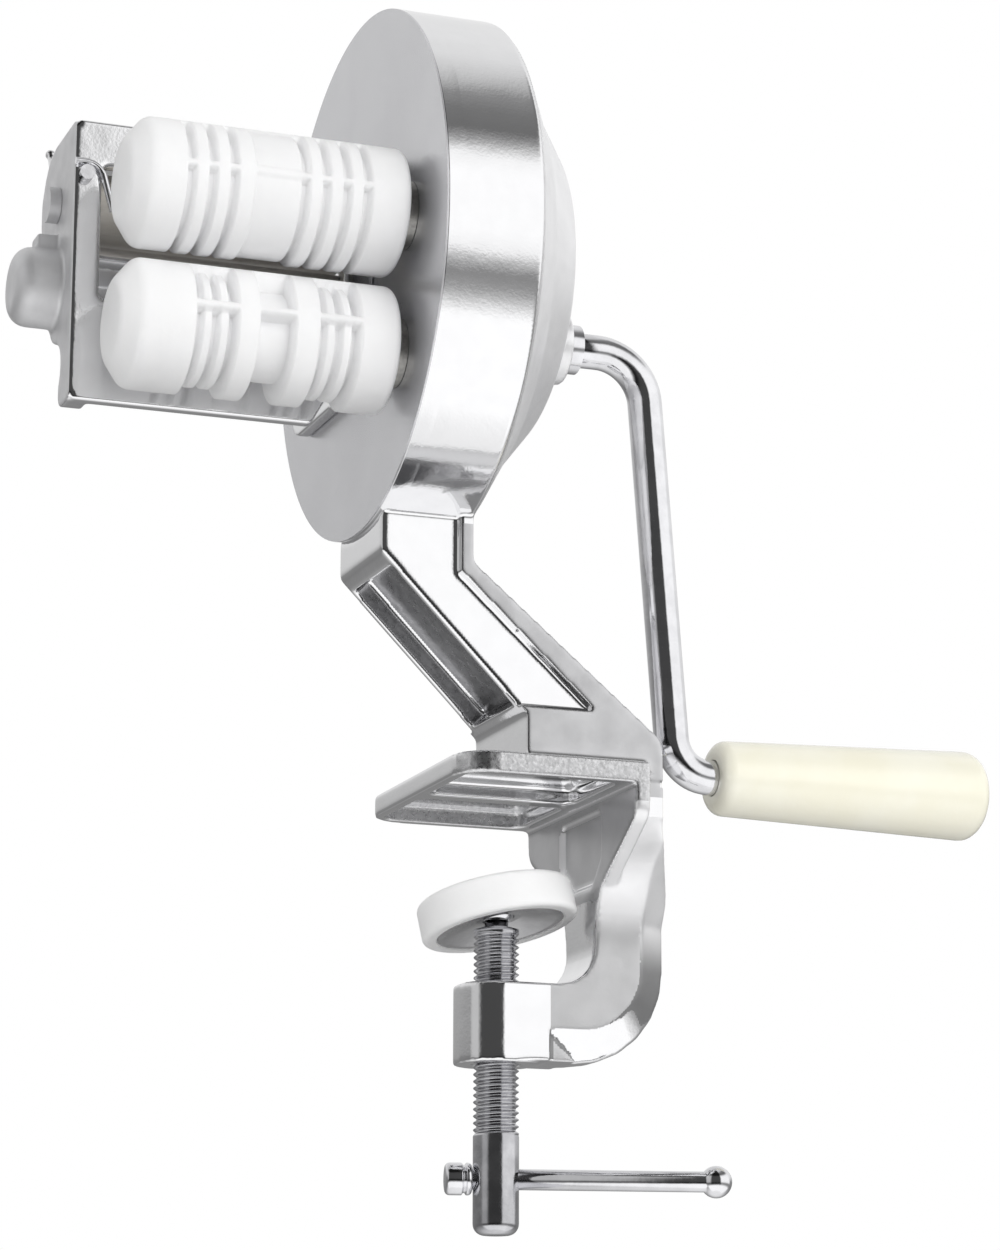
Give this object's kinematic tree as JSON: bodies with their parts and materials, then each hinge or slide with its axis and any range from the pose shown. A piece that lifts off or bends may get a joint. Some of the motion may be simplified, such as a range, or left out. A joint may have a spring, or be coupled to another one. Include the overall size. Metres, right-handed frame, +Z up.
{
  "type": "hand-cranked pasta machine",
  "caption": "Clamp-on hand-cranked shell-pasta machine: gear drum on a cast arm, ribbed cutter rollers, feed rollers in a bracket, bent crank with grip, table clamp.",
  "frame": {"origin": "where the clamp screw's axis meets the underside of the foot that rests on the table", "axes": "+Z up, +X from the cutter rollers towards the crank grip along the drum's axis, +Y along the table's edge away from the cutters' front"},
  "size_m": [0.2324, 0.12, 0.2726],
  "materials": {
    "cast_aluminium": "polished casting",
    "sheet_metal": "fine matt",
    "chrome": "bright plating",
    "gear_steel": "machined",
    "bronze": "sintered",
    "white_plastic": "moulded",
    "pad_plastic": "milky",
    "ivory_plastic": "moulded",
    "roller_wood": "turned, unvarnished"
  },
  "bodies": {
    "frame": {"gear_housing": "cast_aluminium", "cover_plate": "sheet_metal", "roller_bracket": "cast_aluminium", "bracket_screws": "chrome", "crank_bush": "bronze", "upper_cutter_bush": "bronze", "lower_cutter_bush": "bronze", "feed_bush": "bronze", "idler_axle": "chrome", "idler_spring": "chrome"},
    "crank": {"main_shaft": "chrome", "crank_rod": "chrome", "drive_gear": "gear_steel", "feed_roller": "chrome"},
    "grip": {"handle_grip": "ivory_plastic"},
    "upper_cutter": {"upper_cutter": "white_plastic", "upper_cutter_shaft": "chrome", "upper_gear": "gear_steel"},
    "lower_cutter": {"lower_cutter": "white_plastic", "lower_cutter_shaft": "chrome", "lower_gear": "gear_steel"},
    "idler": {"idler_roller": "roller_wood"},
    "swivel": {"swivel_ball": "chrome"},
    "screw": {"clamp_screw": "chrome"},
    "pad": {"pad_cup": "chrome", "pad_ring": "pad_plastic"},
    "tommy": {"tommy_bar": "chrome", "tommy_head": "chrome"}
  },
  "joints": [
    {"name": "crank_turn", "type": "hinge", "parent": "frame", "child": "crank", "pos_m": [0, 0.00378, 0.10776], "axis": [1, 0, 0], "continuous": true},
    {"name": "upper_cutter_turn", "type": "hinge", "parent": "frame", "child": "upper_cutter", "pos_m": [-0.06, -0.03399, 0.12091], "axis": [1, 0, 0], "continuous": true},
    {"name": "lower_cutter_turn", "type": "hinge", "parent": "frame", "child": "lower_cutter", "pos_m": [-0.06, -0.02801, 0.09151], "axis": [1, 0, 0], "continuous": true},
    {"name": "grip_turn", "type": "hinge", "parent": "crank", "child": "grip", "pos_m": [0.08, 0.00378, 0.00976], "axis": [1, 0, 0], "continuous": true},
    {"name": "idler_turn", "type": "hinge", "parent": "frame", "child": "idler", "pos_m": [-0.06, 0.00378, 0.12726], "axis": [1, 0, 0], "continuous": true},
    {"name": "clamp_travel", "type": "slide", "parent": "frame", "child": "swivel", "axis": [0, 0, 1], "range_m": [-0.006, 0.015]},
    {"name": "screw_turn", "type": "hinge", "parent": "swivel", "child": "screw", "pos_m": [0, 0, -0.06], "axis": [0, 0, 1], "range_deg": [-1440, 3600]},
    {"name": "pad_tilt", "type": "hinge", "parent": "swivel", "child": "pad", "pos_m": [0, 0, -0.024], "axis": [0.7431, 0.6691, 0], "range_deg": [0, 15]},
    {"name": "tommy_slide", "type": "slide", "parent": "screw", "child": "tommy", "axis": [0.9744, -0.225, 0], "range_m": [-0.039, 0]}
  ],
  "couplings": [
    {"joint": "upper_cutter_turn", "follows": "crank_turn", "ratio": -1.6667},
    {"joint": "lower_cutter_turn", "follows": "crank_turn", "ratio": 1.6667},
    {"joint": "screw_turn", "follows": "clamp_travel", "rad_per_m": 4188.8}
  ]
}
